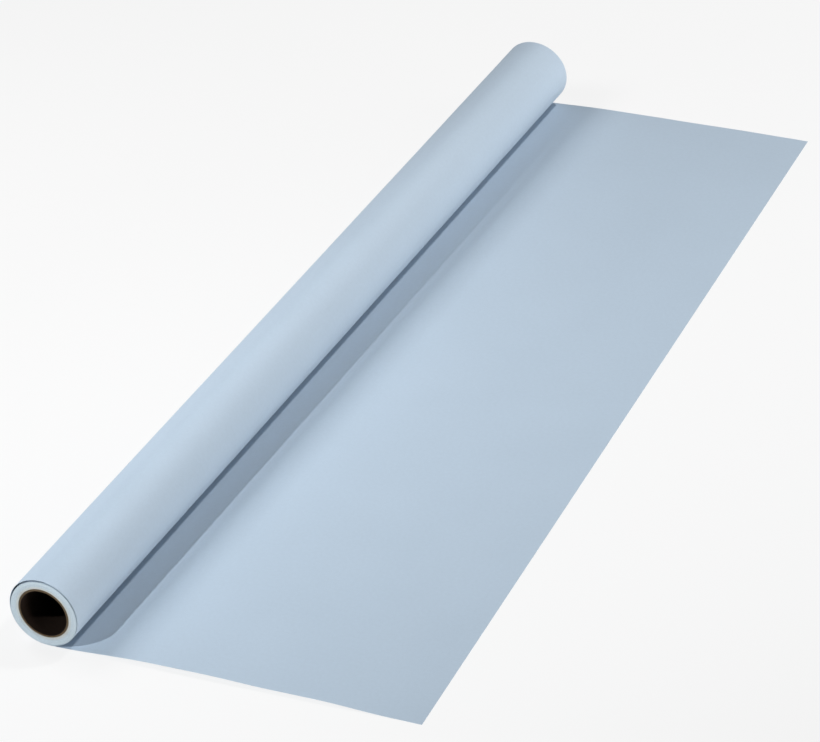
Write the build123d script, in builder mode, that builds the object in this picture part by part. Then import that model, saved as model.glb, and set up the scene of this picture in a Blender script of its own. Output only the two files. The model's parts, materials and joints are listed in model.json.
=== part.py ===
from build123d import *
from math import acos, cos, degrees, radians, sin
import os

# A 1.35 m roll of seamless background paper lying on the floor, with its free end paid out flat.
# Millimetres. Origin on the axis of the core bore, at mid-length. +Y runs along the roll,
# +X points the way the free sheet runs out, +Z is up.

# ---- core: a paperboard tube, wound from plies that are glued to each other ----
web_width = 1350.0          # length of the core and width of the paper
bore_diameter = 60.0
liner_thickness = 0.45      # smooth inner ply
body_ply_thickness = 0.6    # each of the three grey body plies
body_ply_count = 3
wrap_thickness = 0.5        # outer ply

# ---- strips of tape that start the web on the core ----
tape_thickness = 0.08
tape_width = 50.0           # along the core
tape_arc = 70.0             # degrees of the core that one strip goes round
tape_count = 3
tape_end_margin = 120.0     # from the end of the core to the middle of the last strip
tape_gap = 0.04             # glue film on each side of a strip

# ---- paper ----
paper_thickness = 0.2
winding_diameter = 86.8     # the tightly wound turns, without the outermost one
turn_gap = 0.3              # running clearance between the winding, the outer turn and the sheet
turn_slack = 0.35           # shift of the loose part of the outer turn
slack_angle = 150.0         # degrees from +X towards +Z to where the outer turn stands off most
free_length_front = 480.0   # paid-out length at the -Y edge, from the line where the web leaves the roll
free_length_back = 393.0    # paid-out length at the +Y edge

# ---- radii and heights that follow ----
bore_radius = bore_diameter / 2
winding_radius = winding_diameter / 2
core_half = web_width / 2
web_half = web_width / 2

# the snug stretch of the outer turn is centred on the core; the loose stretch has its own centre
snug_inner = winding_radius + turn_gap
snug_outer = snug_inner + paper_thickness
loose_inner = snug_inner + turn_slack
loose_outer = snug_outer + turn_slack
loose_x = turn_slack * cos(radians(slack_angle))
loose_z = turn_slack * sin(radians(slack_angle))

sheet_bottom = loose_z - loose_outer
sheet_top = sheet_bottom + paper_thickness
leave_x = loose_x           # the web touches the floor below the centre of the loose stretch

# the outer turn stops where it comes within the running clearance of the sheet
lift_angle = degrees(acos(1 - (paper_thickness + turn_gap) / loose_outer))
tuck_angle = degrees(acos(-(sheet_top + turn_gap) / snug_outer))
merge_angle = slack_angle - 180


def ring(outer_radius, inner_radius):
    """Sketch a ring about the axis of the roll."""
    Circle(outer_radius)
    Circle(inner_radius, mode=Mode.SUBTRACT)


def polar(radius, angle, x=0.0, z=0.0):
    """Point at an angle from +X about a centre in the end view."""
    return (x + radius * cos(radians(angle)), z + radius * sin(radians(angle)))


def save(part, name):
    part.label = name
    export_step(part, f"parts/{name}.step")


os.makedirs("parts", exist_ok=True)

# ---- core plies, from the bore outwards ----
ply_names = ["core_liner"]
ply_walls = [liner_thickness]
for number in range(1, body_ply_count + 1):
    ply_names.append(f"core_body_ply_{number}")
    ply_walls.append(body_ply_thickness)
ply_names.append("core_outer_wrap")
ply_walls.append(wrap_thickness)

core_radius = bore_radius
for ply_name, ply_wall in zip(ply_names, ply_walls):
    with BuildPart() as ply:
        with BuildSketch(Plane.XZ):
            ring(core_radius + ply_wall, core_radius)
        extrude(amount=core_half, both=True)
    save(ply.part, ply_name)
    core_radius += ply_wall

# ---- start tape: arcs of tape round the top of the core ----
tape_inner = core_radius + tape_gap
tape_outer = tape_inner + tape_thickness
tape_span = 2 * (core_half - tape_end_margin)
tape_pitch = tape_span / (tape_count - 1)
tape_low = 90 - tape_arc / 2
tape_high = 90 + tape_arc / 2

with BuildPart() as start_tape:
    for number in range(tape_count):
        tape_y = -tape_span / 2 + number * tape_pitch
        with BuildSketch(Plane.XZ.offset(-tape_y)):
            with BuildLine():
                CenterArc((0, 0), tape_outer, tape_low, tape_arc)
                Line(polar(tape_outer, tape_high), polar(tape_inner, tape_high))
                CenterArc((0, 0), tape_inner, tape_high, -tape_arc)
                Line(polar(tape_inner, tape_low), polar(tape_outer, tape_low))
            make_face()
        extrude(amount=tape_width / 2, both=True)
save(start_tape.part, "start_tape")

# ---- paper winding: the turns that lie tight on each other ----
with BuildPart() as paper_winding:
    with BuildSketch(Plane.XZ):
        ring(winding_radius, tape_outer + tape_gap)
    extrude(amount=web_half, both=True)
save(paper_winding.part, "paper_winding")

# ---- outer turn: leaves the sheet under the roll, climbs the -X side and closes down on +X ----
loose_start = 270 - lift_angle
loose_sweep = loose_start - merge_angle
snug_end = -90 + tuck_angle
snug_sweep = merge_angle - snug_end

with BuildPart() as outer_turn:
    with BuildSketch(Plane.XZ):
        with BuildLine():
            CenterArc((loose_x, loose_z), loose_outer, loose_start, -loose_sweep)
            CenterArc((0, 0), snug_outer, merge_angle, -snug_sweep)
            Line(polar(snug_outer, snug_end), polar(snug_inner, snug_end))
            CenterArc((0, 0), snug_inner, snug_end, snug_sweep)
            CenterArc((loose_x, loose_z), loose_inner, merge_angle, loose_sweep)
            Line(
                polar(loose_inner, loose_start, loose_x, loose_z),
                polar(loose_outer, loose_start, loose_x, loose_z),
            )
        make_face()
    extrude(amount=web_half, both=True)
save(outer_turn.part, "outer_turn")

# ---- free sheet: flat on the floor, its cut edge a little out of square ----
sheet_start = leave_x - loose_outer * sin(radians(lift_angle))

with BuildPart() as free_sheet:
    with BuildSketch(Plane.XY.offset(sheet_bottom)):
        with BuildLine():
            Polyline(
                (sheet_start, -web_half),
                (leave_x + free_length_front, -web_half),
                (leave_x + free_length_back, web_half),
                (sheet_start, web_half),
                close=True,
            )
        make_face()
    extrude(amount=paper_thickness)
save(free_sheet.part, "free_sheet")

print(f"core outer radius {core_radius:.3f}, roll radius {loose_outer:.3f}")
print(f"sheet z {sheet_bottom:.3f} to {sheet_top:.3f}, leaves the roll at x {leave_x:.3f}")
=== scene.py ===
import json
import math

import bpy
import numpy as np
from mathutils import Matrix, Vector


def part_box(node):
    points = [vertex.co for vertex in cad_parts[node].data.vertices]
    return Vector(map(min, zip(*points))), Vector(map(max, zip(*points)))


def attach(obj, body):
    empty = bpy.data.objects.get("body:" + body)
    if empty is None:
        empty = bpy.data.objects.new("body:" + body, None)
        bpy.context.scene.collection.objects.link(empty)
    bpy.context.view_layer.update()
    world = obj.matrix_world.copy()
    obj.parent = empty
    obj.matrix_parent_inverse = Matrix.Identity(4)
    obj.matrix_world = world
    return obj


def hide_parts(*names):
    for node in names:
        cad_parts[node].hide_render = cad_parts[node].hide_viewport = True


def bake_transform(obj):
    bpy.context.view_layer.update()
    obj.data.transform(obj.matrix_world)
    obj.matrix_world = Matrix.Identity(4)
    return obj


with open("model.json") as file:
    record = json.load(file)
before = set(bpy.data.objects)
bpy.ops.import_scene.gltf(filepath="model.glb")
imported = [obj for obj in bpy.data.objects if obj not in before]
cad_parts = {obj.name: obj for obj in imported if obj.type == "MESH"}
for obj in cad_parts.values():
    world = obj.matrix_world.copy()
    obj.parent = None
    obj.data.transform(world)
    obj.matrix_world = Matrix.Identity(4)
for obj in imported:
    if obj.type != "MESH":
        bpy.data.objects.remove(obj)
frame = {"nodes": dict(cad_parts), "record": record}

bl_info = {
    "name": "Backdrop paper roll",
    "version": (1, 0, 0),
    "blender": (4, 5, 0),
    "location": "View3D > Sidebar > Backdrop",
    "description": "Builds a roll of background paper with its free end rolled out on the floor",
    "category": "Add Mesh",
}

# ---- places taken from the frame, in metres ----
MOUNTS = {mount["name"]: mount for mount in frame["record"]["mounts"]}
BORE_RADIUS = MOUNTS["core_bore"]["dims"]["r_mm"] / 1000
WEB_HALF = MOUNTS["core_bore"]["dims"]["length_mm"] / 2000
FLOOR_Z = MOUNTS["underside"]["pos_m"][2]
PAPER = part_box("free_sheet")[1].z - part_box("free_sheet")[0].z
PLIES = ["core_liner", "core_body_ply_1", "core_body_ply_2", "core_body_ply_3", "core_outer_wrap"]
PLY_RADII = [BORE_RADIUS] + [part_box(ply)[1].x for ply in PLIES]
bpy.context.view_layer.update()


def free_edge():
    """End points of the sheet's cut edge, front and back, read from the corners of the flat sheet."""
    corners = [v.co for v in frame["nodes"]["free_sheet"].data.vertices]
    front = max((c for c in corners if c.y < 0), key=lambda c: c.x)
    back = max((c for c in corners if c.y > 0), key=lambda c: c.x)
    return front.x, back.x


FREE_FRONT, FREE_BACK = free_edge()


# ---- settings a user can change ----
class BackdropPaperSettings(bpy.types.PropertyGroup):
    """Shape and finish of the paper."""

    lift: bpy.props.FloatProperty(
        name="Lift", description="How far the loose outermost turn stands off at the upper left",
        default=0.0013, min=0.0, subtype="DISTANCE", unit="LENGTH")
    lift_start: bpy.props.FloatProperty(
        name="Lift start", description="Where the outermost turn comes free on the left, from the +X side",
        default=math.radians(186), subtype="ANGLE")
    lift_top: bpy.props.FloatProperty(
        name="Lift top", description="Where the outermost turn stands off in full, on the left",
        default=math.radians(126), subtype="ANGLE")
    lift_right: bpy.props.FloatProperty(
        name="Lift right", description="How far round to the right it stands off in full",
        default=math.radians(40), subtype="ANGLE")
    lift_end: bpy.props.FloatProperty(
        name="Lift end", description="Where the outermost turn lies close again on the right",
        default=math.radians(-45), subtype="ANGLE")
    hump: bpy.props.FloatProperty(
        name="Hump", description="Height of the low wave along the front edge of the sheet",
        default=0.0051, min=0.0, subtype="DISTANCE", unit="LENGTH")
    ripple: bpy.props.FloatProperty(
        name="Ripple", description="Height of the faint waves all over the sheet",
        default=0.00035, min=0.0, subtype="DISTANCE", unit="LENGTH")
    turns: bpy.props.IntProperty(
        name="Turns", description="Number of turns in the winding", default=44, min=4, max=80)
    telescope: bpy.props.FloatProperty(
        name="Telescope", description="How far single turns stand out of or in from the end face",
        default=0.0003, min=0.0, subtype="DISTANCE", unit="LENGTH")
    squeeze: bpy.props.FloatProperty(
        name="Squeeze", description="How much closer the last turns lie where the outermost turn is loose",
        default=0.00045, min=0.0, max=0.0006, subtype="DISTANCE", unit="LENGTH")
    recess: bpy.props.FloatProperty(
        name="Recess", description="How far the last two turns stand in under the loose turn",
        default=0.0035, min=0.0, subtype="DISTANCE", unit="LENGTH")
    colour: bpy.props.FloatVectorProperty(
        name="Paper colour", description="Dye of the paper", subtype="COLOR", size=4,
        min=0.0, max=1.0, default=(0.46, 0.556, 0.657, 1.0))
    edge_colour: bpy.props.FloatVectorProperty(
        name="Cut edge colour", description="Paler fibres on the cut edges", subtype="COLOR", size=4,
        min=0.0, max=1.0, default=(0.72, 0.84, 0.91, 1.0))
    aged_colour: bpy.props.FloatVectorProperty(
        name="Aged edge colour", description="Warmer cut edges of the innermost turns", subtype="COLOR",
        size=4, min=0.0, max=1.0, default=(0.80, 0.82, 0.76, 1.0))
    roughness: bpy.props.FloatProperty(
        name="Roughness", description="Roughness of the uncoated face", default=0.9, min=0.0, max=1.0,
        subtype="FACTOR")


class BackdropCoreSettings(bpy.types.PropertyGroup):
    """Shape and finish of the core tube."""

    lead: bpy.props.FloatProperty(
        name="Lead", description="Distance along the tube for one turn of a ply's seam",
        default=0.13, min=0.02, subtype="DISTANCE", unit="LENGTH")
    seam_width: bpy.props.FloatProperty(
        name="Seam width", description="Width of the butt joint between turns of a ply",
        default=0.0009, min=0.0, subtype="DISTANCE", unit="LENGTH")
    seam_depth: bpy.props.FloatProperty(
        name="Seam depth", description="Depth of the butt joint in the liner",
        default=0.00022, min=0.0, subtype="DISTANCE", unit="LENGTH")
    # Painted shade: the liner's colour is kept nearly black to stand for the deep shade inside the bore.
    # The real kraft liner is much lighter.
    painted_shade_liner_colour: bpy.props.FloatVectorProperty(
        name="Liner colour", description="Smooth inner ply", subtype="COLOR", size=4,
        min=0.0, max=1.0, default=(0.016, 0.0085, 0.005, 1.0))
    board_colour: bpy.props.FloatVectorProperty(
        name="Board colour", description="Body plies and outer wrap", subtype="COLOR", size=4,
        min=0.0, max=1.0, default=(0.150, 0.107, 0.064, 1.0))
    tape_colour: bpy.props.FloatVectorProperty(
        name="Tape colour", description="Strips that start the web on the core", subtype="COLOR", size=4,
        min=0.0, max=1.0, default=(0.55, 0.45, 0.26, 1.0))


class BackdropStageSettings(bpy.types.PropertyGroup):
    """Camera, light and floor."""

    distance: bpy.props.FloatProperty(
        name="Camera distance", description="From the camera to the point it aims at",
        default=6.048, subtype="DISTANCE", unit="LENGTH")
    azimuth: bpy.props.FloatProperty(
        name="Camera azimuth", description="Turn of the camera round the roll's front end",
        default=math.radians(29.26), subtype="ANGLE")
    elevation: bpy.props.FloatProperty(
        name="Camera elevation", description="Height of the camera above the floor, as an angle",
        default=math.radians(31.49), subtype="ANGLE")
    bank: bpy.props.FloatProperty(
        name="Camera bank", description="Tilt of the camera about its own line of sight",
        default=math.radians(-6.10), subtype="ANGLE")
    aim: bpy.props.FloatVectorProperty(
        name="Aim", description="Point on the floor that the camera looks at", size=3,
        default=(0.1381, -0.0069, 0.0), subtype="TRANSLATION", unit="LENGTH")
    lens: bpy.props.FloatProperty(
        name="Lens", description="Focal length in millimetres on a 36 mm wide sensor",
        default=214.13, min=10)
    floor_colour: bpy.props.FloatVectorProperty(
        name="Floor colour", description="Plain pale floor under plain light", subtype="COLOR", size=4,
        min=0.0, max=1.0, default=(0.13, 0.13, 0.13, 1.0))
    floor_glow: bpy.props.FloatProperty(
        name="Floor glow", description="Even light given off by the floor, as from a lit table",
        default=0.81, min=0.0)
    sky_strength: bpy.props.FloatProperty(
        name="Sky strength", description="Even light from all round", default=0.02, min=0.0)
    key_power: bpy.props.FloatProperty(
        name="Key power", description="Power of the small lamp at the front left", default=121.0, min=0.0,
        unit="POWER")
    key_colour: bpy.props.FloatVectorProperty(
        name="Key colour", description="Slightly cool light of the key lamp", subtype="COLOR", size=3,
        min=0.0, max=1.0, default=(0.92, 0.965, 1.0))
    key_cone: bpy.props.FloatProperty(
        name="Key cone", description="Opening of the key lamp's beam", default=math.radians(34),
        subtype="ANGLE")
    box_power: bpy.props.FloatVectorProperty(
        name="Box powers", description="Power of the left box, the high right disc and the far right box",
        size=3, min=0.0, default=(15.2, 68.5, 11.4))
    side_strength: bpy.props.FloatProperty(
        name="Side strength", description="Strength of the low, distant light from the right", default=1.80,
        min=0.0)
    side_colour: bpy.props.FloatVectorProperty(
        name="Side colour", description="Slightly warm light from the right", subtype="COLOR", size=3,
        min=0.0, max=1.0, default=(1.0, 0.965, 0.925))
    side_size: bpy.props.FloatProperty(
        name="Side size", description="Apparent diameter of the light from the right",
        default=math.radians(12), subtype="ANGLE")


SETTINGS = {
    "backdrop_paper": BackdropPaperSettings,
    "backdrop_core": BackdropCoreSettings,
    "backdrop_stage": BackdropStageSettings,
}


# ---- mesh helpers ----
def smooth_noise(values, waves, seed):
    """A sum of a few sine waves with seeded lengths and phases, between -1 and 1.

    values is an array of positions in metres and waves the longest wave's length.
    """
    rng = np.random.default_rng(seed)
    lengths = waves / np.array([1.0, 1.7, 2.9, 4.6]) * rng.uniform(0.85, 1.15, 4)
    phases = rng.uniform(0, 2 * np.pi, 4)
    weights = np.array([1.0, 0.55, 0.3, 0.15])
    total = sum(w * np.sin(2 * np.pi * values / length + phase)
                for w, length, phase in zip(weights, lengths, phases))
    return total / weights.sum()


def smoothstep(value, low, high):
    """Rises from 0 at low to 1 at high with flat ends."""
    share = np.clip((value - low) / (high - low), 0, 1)
    return share * share * (3 - 2 * share)


def grid_quads(rows, columns, wrap=False):
    """Corner numbers of the quads of a grid stored row by row; wrap closes each row on itself."""
    row = np.arange(rows - 1)[:, None]
    column = np.arange(columns if wrap else columns - 1)[None, :]
    after = (column + 1) % columns
    first = row * columns + column
    second = row * columns + after
    third = (row + 1) * columns + after
    fourth = (row + 1) * columns + column
    return np.stack([first, second, third, fourth], -1).reshape(-1, 4)


def make_piece(name, points, quads, uv=None, edge=None):
    """Makes a mesh object from whole arrays: points, quads, corner UVs and one cut-edge value a face."""
    mesh = bpy.data.meshes.new(name)
    mesh.vertices.add(len(points))
    mesh.vertices.foreach_set("co", points.astype(np.float32).ravel())
    mesh.loops.add(quads.size)
    mesh.loops.foreach_set("vertex_index", quads.astype(np.int32).ravel())
    mesh.polygons.add(len(quads))
    mesh.polygons.foreach_set("loop_start", np.arange(0, quads.size, 4, dtype=np.int32))
    mesh.polygons.foreach_set("use_smooth", np.ones(len(quads), bool))
    mesh.update(calc_edges=True)
    mesh.validate()
    if uv is not None:
        layer = mesh.uv_layers.new(name="UVMap")
        layer.data.foreach_set("uv", uv[quads.ravel()].astype(np.float32).ravel())
    if edge is not None:
        attribute = mesh.attributes.new("cut_edge", "FLOAT", "FACE")
        attribute.data.foreach_set("value", edge.astype(np.float32))
    mesh.set_sharp_from_angle(angle=math.radians(40))
    piece = bpy.data.objects.new(name, mesh)
    bpy.context.scene.collection.objects.link(piece)
    return piece


def point_value(piece, name, values):
    """Stores one number for each point of a piece, for its material to read."""
    attribute = piece.data.attributes.new(name, "FLOAT", "POINT")
    attribute.data.foreach_set("value", values.astype(np.float32))


def two_sided(front, back, uv):
    """Closes a front and a back grid of the same size into one thin solid with a rim.

    Both grids are (rows, columns, 3). The front faces along rows x columns, by the right-hand rule.
    Returns points, quads, UVs and 1 for each quad of the rim.
    """
    rows, columns = front.shape[:2]
    count = rows * columns
    points = np.concatenate([front.reshape(-1, 3), back.reshape(-1, 3)])
    face = grid_quads(rows, columns)
    number = np.arange(count).reshape(rows, columns)
    rim_loop = np.concatenate([
        number[0, :-1], number[:-1, -1], number[-1, :0:-1], number[:0:-1, 0]])
    following = np.roll(rim_loop, -1)
    rim = np.stack([following, rim_loop, rim_loop + count, following + count], -1)
    quads = np.concatenate([face, face[:, ::-1] + count, rim])[:, ::-1]
    edge = np.concatenate([np.zeros(2 * len(face)), np.ones(len(rim))])
    uvs = np.concatenate([uv.reshape(-1, 2), uv.reshape(-1, 2)])
    return points, quads, uvs, edge


# ---- materials ----
class Nodes:
    """A short way to add and link shader nodes in one material."""

    def __init__(self, name):
        self.material = bpy.data.materials.new(name)
        self.material.use_nodes = True
        self.tree = self.material.node_tree
        self.tree.nodes.clear()
        self.output = self.tree.nodes.new("ShaderNodeOutputMaterial")
        self.shader = self.tree.nodes.new("ShaderNodeBsdfPrincipled")
        self.link(self.shader, "BSDF", self.output, "Surface")

    def add(self, kind, **values):
        node = self.tree.nodes.new(kind)
        for key, value in values.items():
            if key in node.inputs:
                node.inputs[key].default_value = value
            else:
                setattr(node, key, value)
        return node

    def link(self, source, output, target, socket):
        self.tree.links.new(source.outputs[output], target.inputs[socket])

    def noise(self, coordinates, output, stretch, scale, detail=3.0, roughness=0.55):
        """A noise texture on coordinates that are stretched first."""
        mapping = self.add("ShaderNodeMapping")
        mapping.inputs["Scale"].default_value = stretch
        self.link(coordinates, output, mapping, "Vector")
        noise = self.add("ShaderNodeTexNoise", Scale=scale, Detail=detail, Roughness=roughness)
        self.link(mapping, "Vector", noise, "Vector")
        return noise

    def spread(self, source, output, low, high, to_low, to_high):
        """Maps a value from low..high to to_low..to_high."""
        ranged = self.add("ShaderNodeMapRange")
        ranged.inputs["From Min"].default_value = low
        ranged.inputs["From Max"].default_value = high
        ranged.inputs["To Min"].default_value = to_low
        ranged.inputs["To Max"].default_value = to_high
        self.link(source, output, ranged, "Value")
        return ranged

    def tint(self, colour_node, colour_output, factor_node, factor_output):
        """Multiplies a colour by a value."""
        scaled = self.add("ShaderNodeVectorMath", operation="SCALE")
        self.link(colour_node, colour_output, scaled, 0)
        self.link(factor_node, factor_output, scaled, "Scale")
        return scaled

    def mix(self, first, first_output, second, second_output, factor, factor_output):
        """Mixes two colours by a value."""
        mixed = self.add("ShaderNodeMix", data_type="RGBA")
        self.link(factor, factor_output, mixed, 0)
        self.link(first, first_output, mixed, 6)
        self.link(second, second_output, mixed, 7)
        return mixed

    def rgb(self, colour):
        node = self.add("ShaderNodeRGB")
        node.outputs[0].default_value = tuple(colour)
        return node

    def bump(self, height, output, strength, distance, below=None):
        bump = self.add("ShaderNodeBump", Strength=strength, Distance=distance)
        self.link(height, output, bump, "Height")
        if below is not None:
            self.link(below, "Normal", bump, "Normal")
        return bump


def paper_material(settings):
    """Uncoated dyed paper: cloudy formation, long fibres with the web, and paler fuzzy cut edges.

    The pattern lies on the web's own UV map, in metres, so it runs on from piece to piece.
    """
    n = Nodes("dyed_paper")
    where = n.add("ShaderNodeTexCoord")
    cloud = n.noise(where, "UV", (1.0, 1.0, 1.0), 210.0, 4.0, 0.6)
    fibre = n.noise(where, "UV", (1.0, 2.6, 1.0), 1500.0, 3.0, 0.65)
    fleck = n.noise(where, "UV", (1.0, 1.6, 1.0), 620.0, 2.0, 0.5)
    broad = n.noise(where, "UV", (1.0, 1.0, 1.0), 9.0, 2.0, 0.5)
    cloud_tint = n.spread(cloud, "Fac", 0.3, 0.7, 0.982, 1.018)
    fibre_tint = n.spread(fibre, "Fac", 0.3, 0.7, 0.972, 1.028)
    fleck_tint = n.spread(fleck, "Fac", 0.66, 0.74, 1.0, 0.93)
    broad_tint = n.spread(broad, "Fac", 0.3, 0.7, 0.99, 1.01)
    face = n.rgb(settings.colour)
    edge = n.rgb(settings.edge_colour)
    cut = n.add("ShaderNodeAttribute", attribute_name="cut_edge")
    aged = n.add("ShaderNodeAttribute", attribute_name="aged")
    warm = n.mix(edge, 0, n.rgb(settings.aged_colour), 0, aged, "Fac")
    colour = n.mix(face, 0, warm, 2, cut, "Fac")
    result = colour
    output = 2
    for factor in (cloud_tint, fibre_tint, fleck_tint, broad_tint):
        result = n.tint(result, output, factor, "Result")
        output = "Vector"
    n.link(result, output, n.shader, "Base Color")
    rough = n.spread(fibre, "Fac", 0.2, 0.8, settings.roughness - 0.06, settings.roughness + 0.06)
    n.link(rough, "Result", n.shader, "Roughness")
    n.shader.inputs["Specular IOR Level"].default_value = 0.28
    n.shader.inputs["Sheen Weight"].default_value = 0.04
    n.shader.inputs["Sheen Roughness"].default_value = 0.6
    coarse = n.bump(cloud, "Fac", 0.35, 0.00006)
    fine = n.bump(fibre, "Fac", 0.5, 0.00003, coarse)
    n.link(fine, "Normal", n.shader, "Normal")
    return n.material


JOINT_SHADE = 0.55   # colour of a butt joint as a share of the board's own


def board_material(name, colour, specular):
    """Core board: matted brown and grey fibres, darker along the butt joint."""
    n = Nodes(name)
    where = n.add("ShaderNodeTexCoord")
    mat = n.noise(where, "Object", (1.0, 0.35, 1.0), 900.0, 4.0, 0.7)
    clump = n.noise(where, "Object", (1.0, 1.0, 1.0), 240.0, 3.0, 0.6)
    broad = n.noise(where, "Object", (1.0, 1.0, 1.0), 22.0, 2.0, 0.5)
    mat_tint = n.spread(mat, "Fac", 0.25, 0.75, 0.8, 1.2)
    clump_tint = n.spread(clump, "Fac", 0.3, 0.7, 0.88, 1.12)
    broad_tint = n.spread(broad, "Fac", 0.3, 0.7, 0.93, 1.07)
    dark = n.rgb([c * JOINT_SHADE for c in colour[:3]] + [1.0])
    joint = n.add("ShaderNodeAttribute", attribute_name="seam")
    base = n.mix(n.rgb(colour), 0, dark, 0, joint, "Fac")
    result = base
    output = 2
    for factor in (mat_tint, clump_tint, broad_tint):
        result = n.tint(result, output, factor, "Result")
        output = "Vector"
    n.link(result, output, n.shader, "Base Color")
    rough = n.spread(clump, "Fac", 0.2, 0.8, 0.72, 0.92)
    n.link(rough, "Result", n.shader, "Roughness")
    n.shader.inputs["Specular IOR Level"].default_value = specular
    bump = n.bump(mat, "Fac", 0.6, 0.00006)
    n.link(bump, "Normal", n.shader, "Normal")
    return n.material


def tape_material(colour):
    """Creped paper tape: fine ribs across the strip and a slight gloss."""
    n = Nodes("paper_tape")
    where = n.add("ShaderNodeTexCoord")
    crepe = n.noise(where, "Object", (0.3, 1.0, 0.3), 1400.0, 2.0, 0.5)
    cloud = n.noise(where, "Object", (1.0, 1.0, 1.0), 180.0, 3.0, 0.6)
    tint = n.spread(cloud, "Fac", 0.3, 0.7, 0.92, 1.08)
    base = n.tint(n.rgb(colour), 0, tint, "Result")
    n.link(base, "Vector", n.shader, "Base Color")
    rough = n.spread(crepe, "Fac", 0.2, 0.8, 0.4, 0.6)
    n.link(rough, "Result", n.shader, "Roughness")
    bump = n.bump(crepe, "Fac", 0.5, 0.00008)
    n.link(bump, "Normal", n.shader, "Normal")
    return n.material


def floor_material(settings):
    """Even pale studio floor that is lit until it is nearly white."""
    n = Nodes("studio_floor")
    where = n.add("ShaderNodeTexCoord")
    cloud = n.noise(where, "Object", (1.0, 1.0, 1.0), 3.0, 2.0, 0.5)
    tint = n.spread(cloud, "Fac", 0.3, 0.7, 0.998, 1.002)
    base = n.tint(n.rgb(settings.floor_colour), 0, tint, "Result")
    n.link(base, "Vector", n.shader, "Base Color")
    n.shader.inputs["Roughness"].default_value = 0.95
    n.shader.inputs["Specular IOR Level"].default_value = 0.1
    n.shader.inputs["Emission Color"].default_value = (1.0, 1.0, 1.0, 1.0)
    n.shader.inputs["Emission Strength"].default_value = settings.floor_glow
    return n.material


# ---- the paper's path in the end view ----
LAP_STEP = 1.7 * PAPER      # from the winding's last turn out to the outermost turn, between middle lines
TUCK_HEIGHT = 1.6 * PAPER   # of the outermost turn's inner end above its lowest point
CLOSE_STEP = 1.2 * PAPER    # what is left of the lap step at the tuck
RIGHT_FADE = math.radians(60)
WEB_RADIUS = -(FLOOR_Z + PAPER / 2)
WOUND_RADIUS = WEB_RADIUS - LAP_STEP
TUCK_ANGLE = -math.pi / 2 + math.acos(1 - TUCK_HEIGHT / WEB_RADIUS)


def from_below(angle):
    """The same angle between -90 and 270 degrees, so that it grows from the lowest point right round."""
    return (angle + math.pi / 2) % (2 * math.pi) - math.pi / 2


def looseness(settings, angle):
    """How loose the outermost turn is at an angle, from 0 to 1.

    It rises smoothly from the lift start on the left to the lift top, stays so to the lift right, and falls
    to the lift end.
    """
    angle = from_below(angle)
    rise = smoothstep(-angle, -settings.lift_start, -settings.lift_top)
    fall = smoothstep(angle, settings.lift_end, settings.lift_right)
    return rise * fall


def left_share(settings, angle):
    """1 on the upper left, where the turns under the loose one stand in, falling to 0 on the right."""
    return looseness(settings, angle) * smoothstep(from_below(angle), RIGHT_FADE, settings.lift_top)


def lap_path(settings, samples):
    """Middle line of the outermost turn as (points, normals, lengths) in the end view.

    It is a circle about the core's own axis that starts at the floor and runs over the left and the top.
    The lift times the looseness is added to its radius. On the right it draws in towards the winding, and
    it stops at the tuck angle above the sheet, where the winding's outer end meets it.
    """
    angle = np.linspace(1.5 * math.pi, TUCK_ANGLE, samples)
    drawn_in = (LAP_STEP - CLOSE_STEP) * smoothstep(-angle, 0.0, -TUCK_ANGLE)
    radius = WEB_RADIUS - drawn_in + settings.lift * looseness(settings, angle)
    normal = np.stack([np.cos(angle), np.sin(angle)], -1)
    middle = radius[:, None] * normal
    steps = np.linalg.norm(np.diff(middle, axis=0), axis=1)
    return middle, normal, np.concatenate([[0.0], np.cumsum(steps)])


# ---- operators ----
WAVE_REACH = 0.42      # how far back from the front edge the sheet's wave fades
BACK_WAVE = 0.3        # height of the wave at the back as a share of the front's
SHEET_GRID = (110, 241)


class BACKDROP_OT_free_sheet(bpy.types.Operator):
    """Adds the length of paper that is rolled out on the floor.

    A grid runs from the line where the web leaves the roll to the cut edge, and across the web. Its height
    is a low wave that fades towards the back, plus faint ripples, all flat at both ends of the length.
    """

    bl_idname = "backdrop.free_sheet"
    bl_label = "Free sheet"

    def execute(self, context):
        settings = context.scene.backdrop_paper
        share = np.linspace(0, 1, SHEET_GRID[0])[:, None]
        across = np.linspace(-WEB_HALF, WEB_HALF, SHEET_GRID[1])[None, :]
        front_share = (across + WEB_HALF) / (2 * WEB_HALF)
        reach = FREE_FRONT + (FREE_BACK - FREE_FRONT) * front_share
        x = share * reach
        y = across + 0 * share
        step_down = 1 - 0.35 * smoothstep(share, 0.42, 0.60)
        envelope = smoothstep(share, 0.02, 0.30) * step_down * smoothstep(-share, -0.93, -0.72)
        fade = np.exp(-(((y + WEB_HALF) / WAVE_REACH) ** 2))
        wave = settings.hump * envelope * (BACK_WAVE + (1 - BACK_WAVE) * fade)
        still = smoothstep(share, 0.02, 0.2) * smoothstep(-share, -1.0, -0.93)
        faint = 1 + 0.6 * smooth_noise(x + 0.35 * y, 0.31, 3) + 0.4 * smooth_noise(y - 0.2 * x, 0.52, 8)
        bottom = FLOOR_Z + wave + settings.ripple * still * faint
        back = np.stack([x, y, bottom], -1)
        front = back + np.array([0, 0, PAPER])
        uv = np.stack([x, y], -1)
        points, quads, uvs, edge = two_sided(front, back, uv)
        sheet = make_piece("free_sheet_paper", points, quads, uvs, edge)
        sheet.data.materials.append(bpy.data.materials["dyed_paper"])
        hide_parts("free_sheet")
        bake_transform(sheet)
        return {"FINISHED"}


TURN_GRID = (210, 150)
TURN_WAVE = 0.00012    # height of the outermost turn's long waves
LIP_WAVE = 0.00025     # how unevenly its two edges run
LIP_REACH = 0.05       # how far in from the edges that unevenness goes


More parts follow.
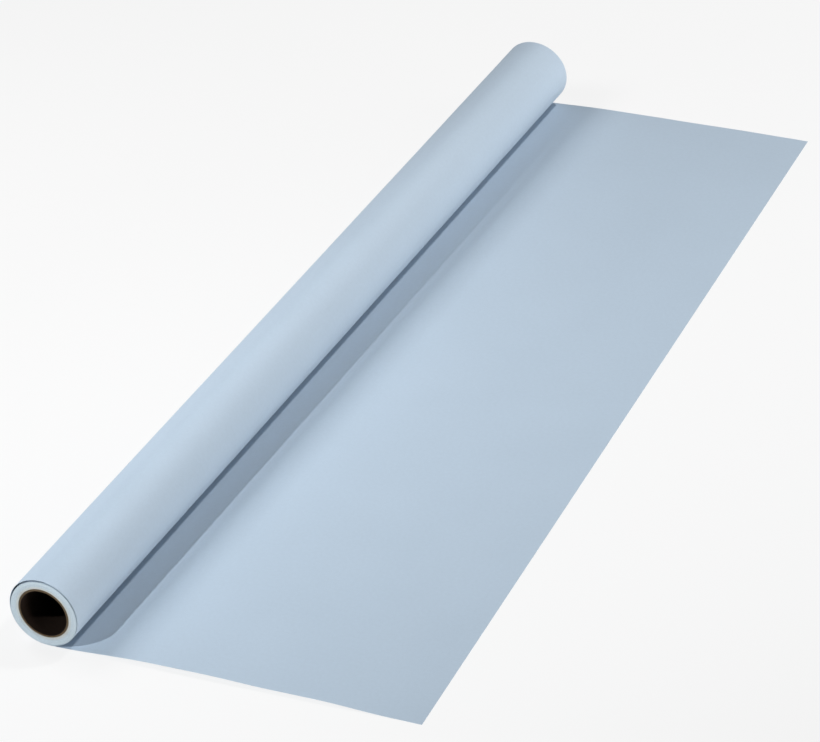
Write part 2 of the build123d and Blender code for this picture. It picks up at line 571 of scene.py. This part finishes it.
class BACKDROP_OT_outer_turn(bpy.types.Operator):
    """Adds the outermost turn, which stands off the winding at the upper left.

    The turn's middle line from lap_path is carried along the roll, thickened by the paper on both sides,
    and moved in and out by a few long waves that grow where the turn is loose.
    """

    bl_idname = "backdrop.outer_turn"
    bl_label = "Outer turn"

    def execute(self, context):
        settings = context.scene.backdrop_paper
        middle, normal, length = lap_path(settings, TURN_GRID[0])
        y = np.linspace(-WEB_HALF, WEB_HALF, TURN_GRID[1])
        share = length / length[-1]
        loose = np.sin(np.pi * smoothstep(share, 0.02, 0.86))[:, None]
        long_wave = smooth_noise(y, 0.9, 21)[None, :]
        slanted = smooth_noise(y[None, :] + 0.6 * length[:, None], 0.23, 5)
        wave = TURN_WAVE * loose * (long_wave + 0.5 * slanted)
        out = (np.array([PAPER / 2, -PAPER / 2])[:, None, None] + wave)[..., None]
        flat = middle[:, None, :] + out * normal[:, None, :]
        shape = flat.shape[:3]
        lip = LIP_WAVE * smooth_noise(length, 0.12, 14)
        ends = smoothstep(np.abs(y), WEB_HALF - LIP_REACH, WEB_HALF) * np.sign(y)
        along = y[None, :] + lip[:, None] * ends[None, :]
        along = np.broadcast_to(along, shape)
        points3 = np.stack([flat[..., 0], along, flat[..., 1]], -1)
        uv = np.stack(np.broadcast_arrays(-length[:, None], y[None, :]), -1)
        points, quads, uvs, edge = two_sided(points3[0], points3[1], uv)
        turn = make_piece("outer_turn_paper", points, quads, uvs, edge)
        turn.data.materials.append(bpy.data.materials["dyed_paper"])
        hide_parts("outer_turn")
        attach(turn, "lap")
        return {"FINISHED"}


TAPE_ROOM = 0.00016     # between the core and the first turn, where the start tape lies
SEGMENTS = 80           # of one turn
SQUEEZED_TURNS = 17
AGED_DEPTH = 0.0045     # of the innermost turns whose edges have turned warmer


class BACKDROP_OT_winding(bpy.types.Operator):
    """Adds the tight turns as one ribbon wound in a spiral, so that every paper edge shows at the ends.

    The ribbon's middle radius grows evenly with the angle, less the squeeze of the last turns under the
    loose one. Each turn's edge is set in or out a little by a slow wave and a seeded step for each turn.
    """

    bl_idname = "backdrop.winding"
    bl_label = "Winding"

    def execute(self, context):
        settings = context.scene.backdrop_paper
        count = settings.turns * SEGMENTS + 1
        turn = np.arange(count) / SEGMENTS
        angle = TUCK_ANGLE + 2 * np.pi * turn
        first = PLY_RADII[-1] + TAPE_ROOM + PAPER / 2
        radius = first + (WOUND_RADIUS - first) * turn / settings.turns
        last_turns = np.clip((turn - settings.turns + SQUEEZED_TURNS + 1) / SQUEEZED_TURNS, 0, 1)
        radius = radius - settings.squeeze * last_turns * looseness(settings, angle)
        rng = np.random.default_rng(40)
        steps = rng.uniform(-1, 1, (2, settings.turns + 2))
        edges = []
        for side, sign in ((0, -1), (1, 1)):
            drift = np.interp(turn, np.arange(settings.turns + 2), steps[side])
            slow = smooth_noise(radius, 0.006, 30 + side)
            near_top = smoothstep(turn, settings.turns - 2.2, settings.turns - 1.8)
            set_in = settings.recess * near_top * left_share(settings, angle)
            edge = sign * WEB_HALF + settings.telescope * (0.55 * drift + 0.45 * slow - sign * 0.9)
            edges.append(edge - sign * set_in)
        outer_radius = radius + PAPER / 2
        inner_radius = radius - PAPER / 2
        x = np.cos(angle)
        z = np.sin(angle)
        corners = [
            (outer_radius, edges[0]),
            (outer_radius, edges[1]),
            (inner_radius, edges[1]),
            (inner_radius, edges[0]),
        ]
        points = np.stack([np.stack([r * x, y, r * z], -1) for r, y in corners], 1).reshape(-1, 3)
        quads = grid_quads(count, 4, wrap=True)
        caps = np.array([[3, 2, 1, 0], [4 * count - 4, 4 * count - 3, 4 * count - 2, 4 * count - 1]])
        quads = np.concatenate([quads, caps])
        length = np.cumsum(radius) * 2 * np.pi / SEGMENTS
        across = np.stack([edges[0], edges[1], edges[1], edges[0]], 1)
        uv = np.stack([np.repeat(length, 4), across.ravel()], -1)
        edge = np.tile(np.array([0.0, 1.0, 0.0, 1.0]), count - 1)
        edge = np.concatenate([edge, np.ones(2)])
        winding = make_piece("winding_paper", points, quads, uv, edge)
        aged = np.repeat(1 - smoothstep(radius, radius[0], radius[0] + AGED_DEPTH), 4)
        point_value(winding, "aged", aged)
        winding.data.materials.append(bpy.data.materials["dyed_paper"])
        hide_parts("paper_winding")
        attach(winding, "roll")
        return {"FINISHED"}


PLY_COLUMNS = 74        # round a ply, its joint apart
LINER_ROWS = 360        # more than in the other plies, because its grid is twisted
PLY_ROWS = 150
JOINT_SPACING = 1.3     # angle in radians from one ply's joint to the next ply's
NICK_DEPTH = 0.0007     # of a joint at the cut end
NICK_REACH = 0.0018
CUT_ROUGHNESS = 0.00006
CUT_EASE = 0.00006      # rounding of the cut end's edges
EASE_REACH = 0.0003


class BACKDROP_OT_core(bpy.types.Operator):
    """Adds the five plies of the core, each a tube with a butt joint.

    A ply is a grid of angle by distance along the tube. The liner's grid is twisted by the seam's lead, so
    one column runs along its helical joint, where the bore wall dips in. The other plies show only at their
    cut ends, which are nicked where their joints come out, and their grids run straight.
    """

    bl_idname = "backdrop.core"
    bl_label = "Core plies"

    def execute(self, context):
        settings = context.scene.backdrop_core
        for number, ply in enumerate(PLIES):
            liner = number == 0
            piece = self.tube(settings, ply, PLY_RADII[number], PLY_RADII[number + 1], number)
            # The liner's material carries the painted shade of the bore in its nearly black colour.
            piece.data.materials.append(bpy.data.materials["kraft_liner_painted_shade" if liner else "ply_board"])
            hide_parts(ply)
            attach(piece, "roll")
        return {"FINISHED"}

    @staticmethod
    def tube(settings, name, inner, outer, number):
        liner = number == 0
        rows = LINER_ROWS if liner else PLY_ROWS
        middle = (inner + outer) / 2
        half_seam = settings.seam_width / 2 / middle
        near = half_seam * np.array([-2.5, -1.0, -0.6, 0.6, 1.0, 2.5])
        even = np.linspace(near[-1], 2 * np.pi + near[0], PLY_COLUMNS)[1:-1]
        angle = np.concatenate([near, even])
        joint = np.where(np.abs(angle) < half_seam * 0.8, 1.0, 0.0)
        end = np.array([0.0, 0.0004, 0.0016])
        inside = np.linspace(0.004, 2 * WEB_HALF - 0.004, rows - 6)
        along = np.concatenate([end, inside, 2 * WEB_HALF - end[::-1]]) - WEB_HALF
        twist = 2 * np.pi * along / settings.lead * liner
        theta = angle[None, :] + twist[:, None] + JOINT_SPACING * number
        at_end = smoothstep(np.abs(along), WEB_HALF - NICK_REACH, WEB_HALF)[:, None]
        nick = NICK_DEPTH * at_end * joint[None, :]
        rough = CUT_ROUGHNESS * at_end * smooth_noise(theta * middle, 0.02, 60 + number)
        y = along[:, None] - np.sign(along)[:, None] * (nick + rough)
        ease = CUT_EASE * smoothstep(np.abs(along), WEB_HALF - EASE_REACH, WEB_HALF)[:, None]
        dip = settings.seam_depth * joint[None, :] * liner
        wall_in = inner + dip + ease + 0 * theta
        wall_out = outer - ease + 0 * theta
        columns = len(angle)
        inside_grid = np.stack([wall_in * np.cos(theta), y + 0 * theta, wall_in * np.sin(theta)], -1)
        outside_grid = np.stack([wall_out * np.cos(theta), y + 0 * theta, wall_out * np.sin(theta)], -1)
        points = np.concatenate([inside_grid.reshape(-1, 3), outside_grid.reshape(-1, 3)])
        face = grid_quads(len(along), columns, wrap=True)
        count = len(along) * columns
        ring = np.arange(columns)
        after = (ring + 1) % columns
        last = count - columns
        front = np.stack([ring, ring + count, after + count, after], -1)
        back = np.stack([ring + last, after + last, after + last + count, ring + last + count], -1)
        quads = np.concatenate([face, face[:, ::-1] + count, front, back])
        piece = make_piece(f"{name}_board", points, quads)
        point_value(piece, "seam", np.tile(joint, 2 * len(along)))
        return piece


class BACKDROP_OT_finishes(bpy.types.Operator):
    """Makes the materials and puts the tape's on its own node."""

    bl_idname = "backdrop.finishes"
    bl_label = "Finishes"

    def execute(self, context):
        core = context.scene.backdrop_core
        paper_material(context.scene.backdrop_paper)
        # The liner's nearly black colour is painted shade of the deep bore, laid on the board's fibre
        # pattern.
        board_material("kraft_liner_painted_shade", core.painted_shade_liner_colour, 0.2)
        board_material("ply_board", core.board_colour, 0.15)
        tape = frame["nodes"]["start_tape"]
        tape.data.materials.clear()
        tape.data.materials.append(tape_material(core.tape_colour))
        return {"FINISHED"}


FLOOR_HALF = 60.0
FLOOR_GAP = 0.0001      # under the sheet, so the two faces don't lie in one another
KEY_PLACE = (-0.693, -2.115, 1.923)
KEY_AIM = (0.15, -0.45, FLOOR_Z)
KEY_RADIUS = 0.02
SIDE_PLACE = (3.0, -1.0, 0.05)
SIDE_AIM = (0.0, -0.4, 0.0)
BOXES = (
    ("left_box", "SQUARE", 0.6, (-1.0, -0.2, 1.2), (0.1, 0.0, FLOOR_Z)),
    ("high_disc", "DISK", 0.35, (1.6, 1.52, 3.34), (0.1, 0.0, FLOOR_Z)),
    ("far_box", "SQUARE", 1.2, (1.7, 1.3, 0.9), (0.1, 0.5, FLOOR_Z)),
)


class BACKDROP_OT_stage(bpy.types.Operator):
    """Adds the floor, the lights and the camera."""

    bl_idname = "backdrop.stage"
    bl_label = "Stage"

    def execute(self, context):
        settings = context.scene.backdrop_stage
        self.floor(settings)
        self.lights(context, settings)
        self.camera(context, settings)
        context.scene.view_settings.view_transform = "Standard"
        return {"FINISHED"}

    @staticmethod
    def floor(settings):
        corner = np.array([-FLOOR_HALF, FLOOR_HALF])
        x, y = np.meshgrid(corner, corner)
        points = np.stack([x.ravel(), y.ravel(), np.full(4, FLOOR_Z - FLOOR_GAP)], -1)
        floor = make_piece("floor", points, grid_quads(2, 2))
        floor.data.materials.append(floor_material(settings))

    @classmethod
    def lights(cls, context, settings):
        world = bpy.data.worlds.new("studio")
        world.use_nodes = True
        background = world.node_tree.nodes["Background"]
        background.inputs["Color"].default_value = (1.0, 1.0, 1.0, 1.0)
        background.inputs["Strength"].default_value = settings.sky_strength
        context.scene.world = world
        key = cls.lamp(context, "key", "SPOT", KEY_PLACE, KEY_AIM)
        key.energy = settings.key_power
        key.color = settings.key_colour
        key.spot_size = settings.key_cone
        key.spot_blend = 1.0
        key.shadow_soft_size = KEY_RADIUS
        side = cls.lamp(context, "side", "SUN", SIDE_PLACE, SIDE_AIM)
        side.energy = settings.side_strength
        side.color = settings.side_colour
        side.angle = settings.side_size
        for power, (name, shape, size, location, aim) in zip(settings.box_power, BOXES):
            box = cls.lamp(context, name, "AREA", location, aim)
            box.shape = shape
            box.size = size
            box.energy = power

    @staticmethod
    def lamp(context, name, kind, location, aim):
        """Adds a light at a place and turns it to its aim; returns the light's data."""
        data = bpy.data.lights.new(name, kind)
        lamp = bpy.data.objects.new(name, data)
        lamp.location = location
        lamp.rotation_euler = (Vector(aim) - Vector(location)).to_track_quat("-Z", "Y").to_euler()
        lamp.visible_camera = False
        context.scene.collection.objects.link(lamp)
        return data

    @staticmethod
    def camera(context, settings):
        data = bpy.data.cameras.new("camera")
        data.lens = settings.lens
        data.sensor_width = 36.0
        data.clip_end = 60.0
        camera = bpy.data.objects.new("camera", data)
        azimuth, elevation = settings.azimuth, settings.elevation
        back = Vector((
            math.sin(azimuth) * math.cos(elevation),
            -math.cos(azimuth) * math.cos(elevation),
            math.sin(elevation)))
        aim = Vector(settings.aim) + Vector((0, 0, FLOOR_Z))
        turn = back.to_track_quat("Z", "Y").to_matrix().to_4x4()
        bank = Matrix.Rotation(settings.bank, 4, "Z")
        camera.matrix_world = Matrix.Translation(aim + back * settings.distance) @ turn @ bank
        context.scene.collection.objects.link(camera)
        context.scene.camera = camera


class BACKDROP_PT_panel(bpy.types.Panel):
    """Lists the pieces and their settings."""

    bl_idname = "BACKDROP_PT_panel"
    bl_label = "Backdrop paper roll"
    bl_space_type = "VIEW_3D"
    bl_region_type = "UI"
    bl_category = "Backdrop"

    def draw(self, context):
        layout = self.layout
        for operator in STEPS:
            layout.operator(operator.bl_idname)
        for name, group in SETTINGS.items():
            column = layout.box().column()
            for key in group.__annotations__:
                column.prop(getattr(context.scene, name), key)


STEPS = (
    BACKDROP_OT_finishes,
    BACKDROP_OT_free_sheet,
    BACKDROP_OT_outer_turn,
    BACKDROP_OT_winding,
    BACKDROP_OT_core,
    BACKDROP_OT_stage,
)


def register():
    for cls in (*SETTINGS.values(), *STEPS, BACKDROP_PT_panel):
        bpy.utils.register_class(cls)
    for name, group in SETTINGS.items():
        setattr(bpy.types.Scene, name, bpy.props.PointerProperty(type=group))


def unregister():
    for name in SETTINGS:
        delattr(bpy.types.Scene, name)
    for cls in (BACKDROP_PT_panel, *reversed(STEPS), *reversed(list(SETTINGS.values()))):
        bpy.utils.unregister_class(cls)


def main():
    register()
    bpy.ops.backdrop.finishes()
    bpy.ops.backdrop.free_sheet()
    bpy.ops.backdrop.outer_turn()
    bpy.ops.backdrop.winding()
    bpy.ops.backdrop.core()
    bpy.ops.backdrop.stage()


if __name__ == "__main__":
    main()
